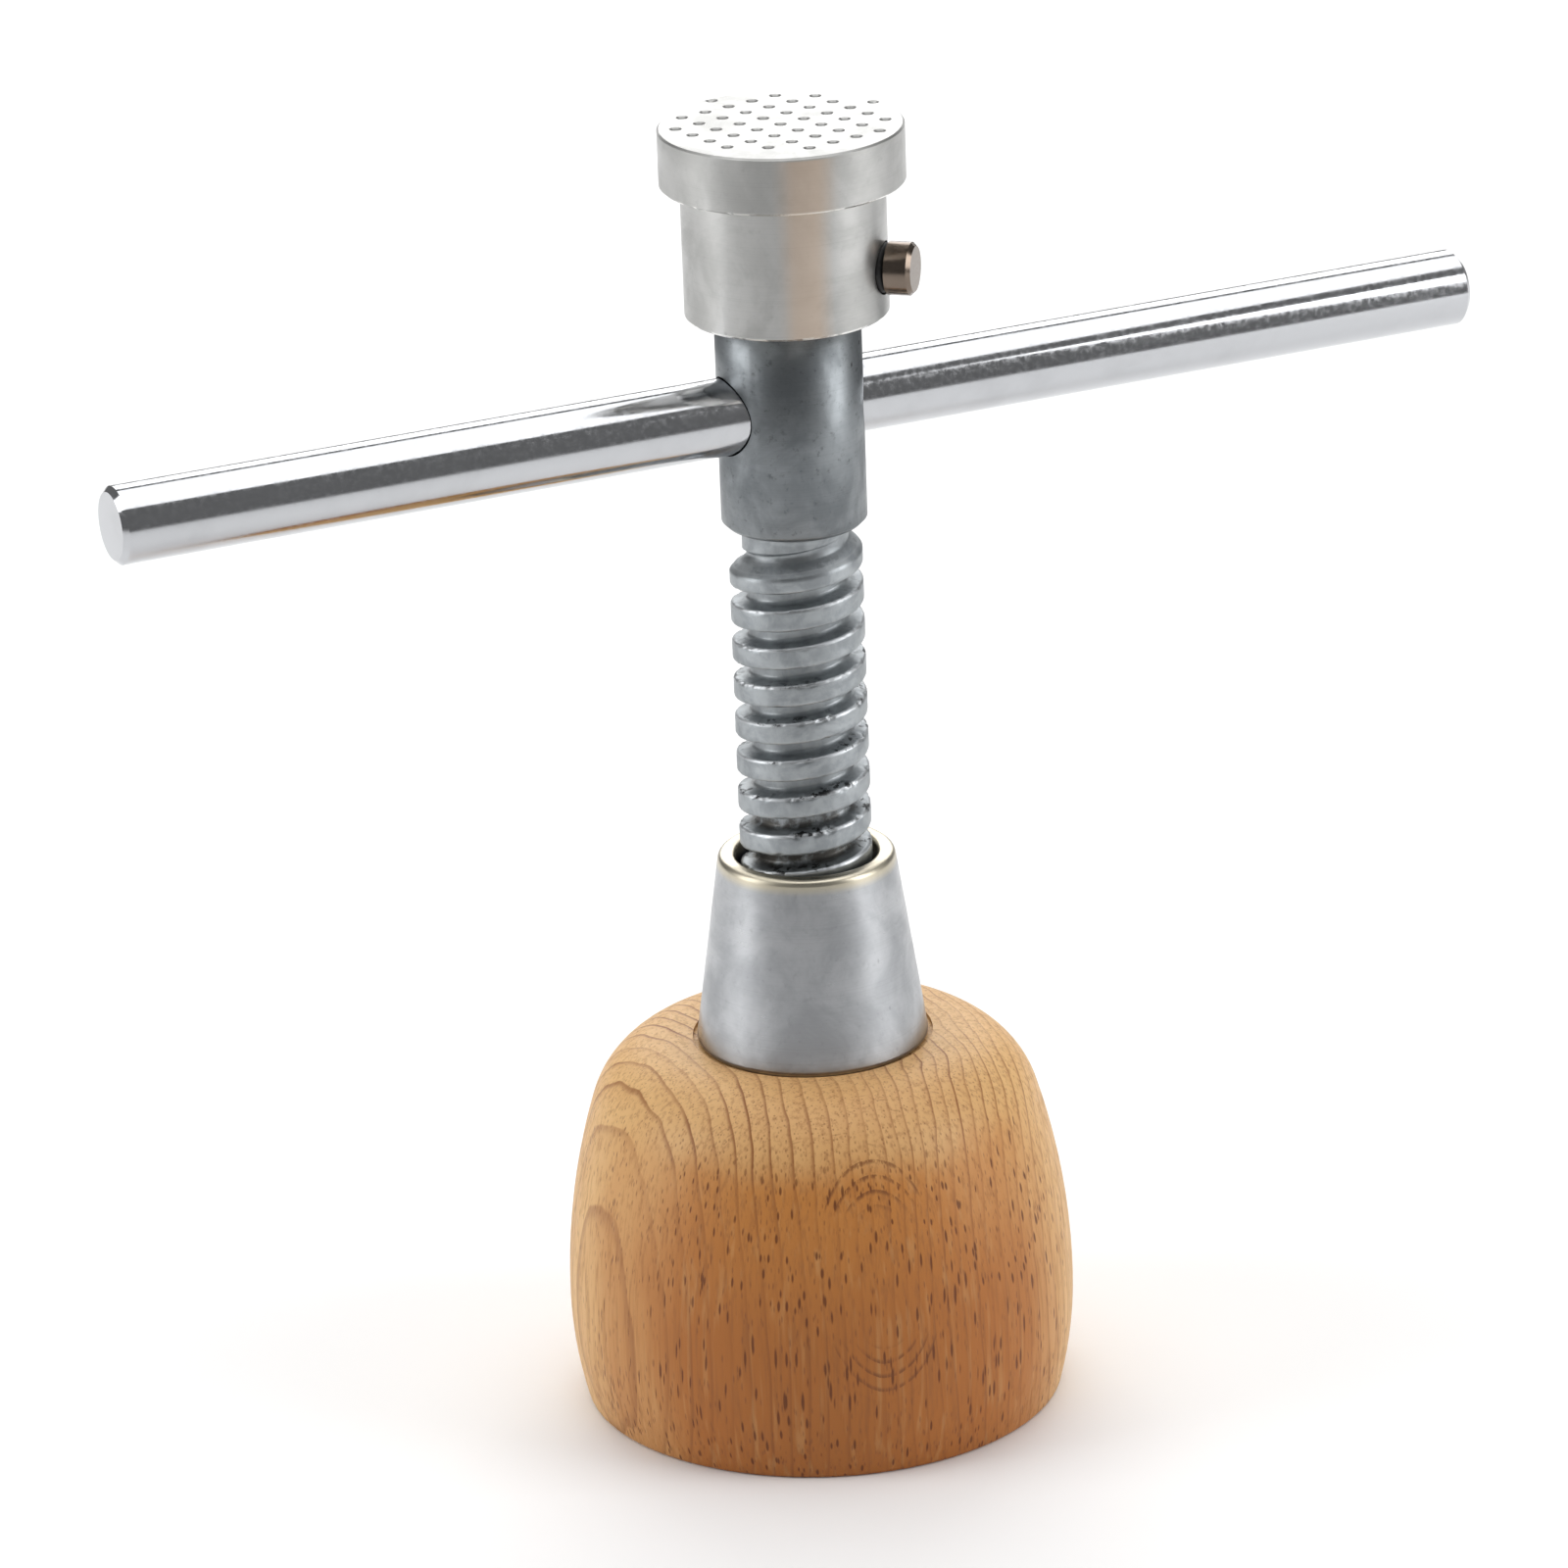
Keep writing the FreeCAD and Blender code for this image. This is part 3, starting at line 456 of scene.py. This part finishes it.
def worn_spindle():
    """The CAD spindle's ends with the worn thread between them."""
    whole = bmesh.new()
    whole.from_mesh(nodes["spindle"].data)
    bmesh.ops.remove_doubles(whole, verts=whole.verts, dist=1e-7)
    kept = bmesh.new()
    store = bpy.data.meshes.new("worn_spindle")
    for height, above in ((THREAD_HIGH, True), (THREAD_LOW, False)):
        end = whole.copy()
        sides = {"clear_inner": above, "clear_outer": not above}
        everything = end.verts[:] + end.edges[:] + end.faces[:]
        cut = {"plane_co": (0, 0, height * MM), "plane_no": (0, 0, 1)}
        bmesh.ops.bisect_plane(end, geom=everything, **cut, **sides)
        end.to_mesh(store)
        kept.from_mesh(store)
        end.free()
    rod = threaded_rod()
    kept.from_mesh(rod)
    bmesh.ops.remove_doubles(kept, verts=kept.verts, dist=2e-6)
    loose = [vert for vert in kept.verts if not vert.link_faces]
    bmesh.ops.delete(kept, geom=loose, context="VERTS")
    kept.to_mesh(store)
    kept.free()
    whole.free()
    store.shade_smooth()
    store.set_sharp_from_angle(angle=math.radians(38))
    piece = bpy.data.objects.new("worn_spindle", store)
    bpy.context.collection.objects.link(piece)
    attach(piece, "screw")
    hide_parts("spindle")
    return piece


def spindle_metal():
    """Zinc plate: a dull mottled head, a brighter thread with a painted highlight along the crests'
    upper edges, chipped edges and grease below.
    """
    head, head_tint = (0.25, 0.268, 0.280), (0.170, 0.185, 0.196)
    g = turned_metal("zinc_steel", head, head_tint, 0.44, 2.0, 0.14, 0.7, nicks=0.9)
    p = g.place()
    radius, angle, z = around(g, p, (0, 0))
    tone = g.colour()
    thread = g.remap(z, HEAD_BOTTOM - 0.3, HEAD_BOTTOM - 0.9)
    bright = g.noise(p, 300.0, 4.0, 0.6, 0.5, w=6.0)
    zinc = g.mix(g.remap(bright, 0.35, 0.65), (0.42, 0.445, 0.46), (0.29, 0.31, 0.325))
    tone = g.mix(g.math("MULTIPLY", thread, 0.8), tone, zinc)
    # distance from the groove's middle, measured up the screw's axis
    rise = g.math("MULTIPLY", angle, PITCH / (2 * math.pi))
    count = g.math("DIVIDE", g.math("SUBTRACT", g.math("SUBTRACT", z, rise), GROOVE_START), PITCH)
    offset = g.math("SUBTRACT", g.math("FRACT", g.math("ADD", count, 0.5)), 0.5)
    offset = g.math("MULTIPLY", offset, PITCH)
    # a painted highlight: a bright line along the upper edge of each crest
    near = g.math("ABSOLUTE", g.math("SUBTRACT", offset, -MOUTH - 0.18))
    outer = g.math("MULTIPLY", thread, g.remap(radius, 9.2, 9.7))
    rim = g.math("MULTIPLY", g.remap(near, 0.30, 0.10), outer)
    tone = g.mix(g.math("MULTIPLY", rim, 0.55), tone, (0.66, 0.68, 0.70))
    below = g.remap(z, 126.0, 108.0, 0.25, 1.0)
    chips = g.noise(p, 900.0, 3.0, 0.6, 0.3, w=11.0)
    places = g.noise(p, 240.0, 2.0, 0.5, 0.0, w=12.0)
    near = g.math("ABSOLUTE", g.math("SUBTRACT", offset, -MOUTH + 0.05))
    chip = g.math("MULTIPLY", g.remap(near, 0.55, 0.15), g.remap(chips, 0.50, 0.58))
    chip = g.math("MULTIPLY", chip, g.math("MULTIPLY", g.remap(places, 0.46, 0.58), below))
    tone = g.mix(g.math("MULTIPLY", g.math("MULTIPLY", chip, thread), 0.95), tone, (0.02, 0.02, 0.02))
    # grease that has gone dark and brown in the lowest grooves
    dirt = g.noise(p, 420.0, 4.0, 0.65, 0.0, w=5.0)
    groove = g.remap(radius, 9.0, 7.7)
    low = g.remap(z, 103.0, 94.0, 0.12, 1.0)
    dirt = g.math("MULTIPLY", thread, g.remap(dirt, 0.30, 0.55))
    dirty = g.math("MULTIPLY", g.math("MULTIPLY", groove, low), dirt)
    tone = g.mix(g.math("MULTIPLY", dirty, 0.85), tone, (0.040, 0.032, 0.022))
    g.set(colour=tone)
    return g.material


# ---------------------------------------------------------------- materials
# Heights are in millimetres, and BAND_AZIMUTH is in degrees about the screw.
RIM_LOW = 85.8
RIM_HIGH = 87.4
BAND_AZIMUTH = -101.0
SLEEVE_BOTTOM = 174.4
DISC_BOTTOM = 194.5
RIM_STAIN = (0.34, 0.27, 0.16)
RIM_TINT_AND_HIGHLIGHT = (0.66, 0.58, 0.40)
WARM_REFLECTION = (0.62, 0.46, 0.33)
PIT_SHADE = (0.13, 0.13, 0.13)
GLINT = (1.0, 1.0, 0.97)


def collar_metal():
    """Satin steel with a bronze-toned rim, painted brighter as a highlight on its fillet."""
    stains = [(RIM_STAIN, 0.75, (0.0135, 0.001, 0.084), 0.011)]
    shades = (0.46, 0.47, 0.485), (0.36, 0.37, 0.385)
    g = turned_metal("satin_steel", *shades, 0.33, 1.0, 0.05, 0.25, stains)
    z = around(g, g.place(), (0, 0))[2]
    # the rim's fillet: its bronze tone, painted brighter as a highlight from the light above
    rim = g.math("MULTIPLY", g.remap(z, RIM_LOW, RIM_HIGH), 0.6)
    g.set(colour=g.mix(rim, g.colour(), RIM_TINT_AND_HIGHLIGHT))
    return g


def cap_metal():
    """Turned aluminium: a painted warm reflection down the front, painted shade in the pits and painted
    glints on the lower edges.
    """
    shades = (0.47, 0.47, 0.46), (0.39, 0.39, 0.38)
    g = turned_metal("turned_aluminium", *shades, 0.36, 3.0, 0.06, 0.18, nicks=0.25)
    p = g.place()
    reach, angle, z = around(g, p, (0, 0))
    # a painted reflection: a warm upright band down the walls that face the camera
    drift = g.noise(g.scaled(p, (500, 500, 25)), 1.0, 2.0)
    band = g.math("SUBTRACT", angle, math.radians(BAND_AZIMUTH))
    band = g.math("ABSOLUTE", g.math("ADD", band, g.math("MULTIPLY", drift, 0.08)))
    warm = g.math("MULTIPLY", g.remap(band, 0.30, 0.07), g.remap(z, 202.9, 202.5))
    tone = g.mix(g.math("MULTIPLY", warm, 0.55), g.colour(), WARM_REFLECTION)
    # painted shade in the pits of the top face
    pit = g.math("MULTIPLY", g.remap(z, 203.14, 202.9), g.remap(z, 202.0, 202.3))
    pit_shade = g.math("MULTIPLY", pit, g.remap(reach, 17.7, 17.5))
    tone = g.mix(g.math("MULTIPLY", pit_shade, 0.62), tone, PIT_SHADE)
    # painted glints: broken bright highlights on the sleeve's bottom edge and the disc's lower edge
    sleeve_edge = g.remap(z, SLEEVE_BOTTOM + 0.45, SLEEVE_BOTTOM + 0.25)
    disc_edge = g.math("ABSOLUTE", g.math("SUBTRACT", z, DISC_BOTTOM + 0.1))
    disc_edge = g.remap(disc_edge, 0.30, 0.15)
    broken = g.remap(g.noise(p, 260.0, 3.0, 0.6, 0.0, w=14.0), 0.47, 0.56)
    glint = g.math("MULTIPLY", g.math("MAXIMUM", sleeve_edge, disc_edge), broken)
    g.set(colour=g.mix(g.math("MULTIPLY", glint, 0.85), tone, GLINT))
    return g


collar = collar_metal()
steel = turned_metal("foot_steel", (0.52, 0.53, 0.54), (0.42, 0.43, 0.44), 0.36, 8.0)
aluminium = cap_metal()
dark_steel = plain_metal("dark_steel", (0.30, 0.30, 0.31), 0.38, seed=4.0)
bronze = plain_metal("bronze", (0.58, 0.38, 0.17), 0.32, seed=5.0)
chrome = plain_metal("chrome", (0.55, 0.56, 0.58), 0.11, 0.18, 120.0, 0.02, seed=6.0)
polished = plain_metal("polished_steel", (0.20, 0.160, 0.130), 0.17, 0.2, 200.0, 0.03, seed=7.0)

rubber = Graph("black_rubber")
p = rubber.place()
dust = rubber.remap(rubber.noise(p, 900.0), 0.45, 0.75)
rubber.set(colour=rubber.mix(dust, (0.006, 0.006, 0.006), (0.03, 0.03, 0.03)), roughness=0.6)
rubber.set(normal=rubber.bump(rubber.noise(p, 2400.0), 0.2, 0.00005))

wood = beech()
MATERIALS = {
    "wooden_base": wood,
    "threaded_collar": collar,
    "presser_foot": steel,
    "palm_cap": aluminium,
    "tee_bar": chrome,
    "cap_pin": polished,
    "cap_pin_o_ring": rubber,
    "collar_key": dark_steel,
    "collar_washer": dark_steel,
    "collar_ring_nut": dark_steel,
    "drive_nut_circlip": dark_steel,
    "drive_nut_lock_pin": dark_steel,
    "bar_set_screw": dark_steel,
    "foot_washer": dark_steel,
    "foot_screw": dark_steel,
    "drive_nut": bronze,
    "cap_thrust_washer": bronze,
    "foot_thrust_washer": bronze,
}
for node, graph in MATERIALS.items():
    paint(node, graph.material)
spindle = worn_spindle()
spindle.data.materials.clear()
spindle.data.materials.append(spindle_metal())


# ---------------------------------------------------------------- floor, light, camera
FLOOR_SIDE = 8.0
WORLD_STRENGTH = 0.18
bpy.ops.mesh.primitive_plane_add(size=FLOOR_SIDE, location=(0, 0, cad_low[2]))
floor = bpy.context.object
floor.name = "floor"
paper = Graph("floor")
haze = paper.noise(paper.place(), 3.0)
paper.set(colour=paper.mix(haze, (0.90, 0.90, 0.90), (0.93, 0.93, 0.93)), roughness=0.8)
floor.data.materials.append(paper.material)

bpy.context.scene.view_settings.view_transform = "Standard"
world = bpy.data.worlds.new("studio")
bpy.context.scene.world = world
world.use_nodes = True
world.node_tree.nodes["Background"].inputs[0].default_value = (1, 1, 1, 1)
world.node_tree.nodes["Background"].inputs[1].default_value = WORLD_STRENGTH

# The camera's place and aim, in millimetres and degrees.
VIEW_TURN = -24.57
CAMERA_DISTANCE = 1115.8
CAMERA_HEIGHT = 524.5
CAMERA_YAW = -0.156
CAMERA_PITCH = 20.867
CAMERA_ROLL = -2.1
FOCAL_PER_WIDTH = 5.0066
SENSOR_WIDTH = 36.0


def soft_light(name, azimuth, elevation, distance, width, height, radiance):
    """A rectangular soft box that faces the object, placed by its angle from the camera's."""
    a = math.radians(VIEW_TURN + azimuth)
    e = math.radians(elevation)
    aim = Vector((0, 0, 0.1))
    towards = Vector((math.cos(e) * math.sin(a), -math.cos(e) * math.cos(a), math.sin(e)))
    spot = aim + distance * towards
    data = bpy.data.lights.new(name, "AREA")
    data.shape = "RECTANGLE"
    data.size = width
    data.size_y = height
    data.energy = radiance * math.pi * width * height
    lamp = bpy.data.objects.new(name, data)
    bpy.context.collection.objects.link(lamp)
    lamp.location = spot
    lamp.rotation_euler = (aim - spot).to_track_quat("-Z", "Y").to_euler()


soft_light("top_box", 180, 80, 1.25, 1.7, 1.5, 1.8)
soft_light("back_box", 180, 24, 1.6, 1.6, 0.9, 2.6)
soft_light("left_box", -80, 20, 1.2, 0.6, 1.0, 3.6)
soft_light("right_box", 76, 20, 1.2, 0.6, 1.0, 3.8)

turn = math.radians(VIEW_TURN)
camera_data = bpy.data.cameras.new("camera")
camera_data.sensor_width = SENSOR_WIDTH
camera_data.lens = SENSOR_WIDTH * FOCAL_PER_WIDTH
camera_data.clip_end = 20.0
camera = bpy.data.objects.new("camera", camera_data)
bpy.context.collection.objects.link(camera)
place = Vector((math.sin(turn) * CAMERA_DISTANCE, -math.cos(turn) * CAMERA_DISTANCE, CAMERA_HEIGHT))
look = Matrix.Rotation(turn - math.radians(CAMERA_YAW), 4, "Z")
look = look @ Matrix.Rotation(math.radians(90 - CAMERA_PITCH), 4, "X")
look = look @ Matrix.Rotation(math.radians(CAMERA_ROLL), 4, "Z")
camera.matrix_world = Matrix.Translation(place * MM) @ look
bpy.context.scene.camera = camera
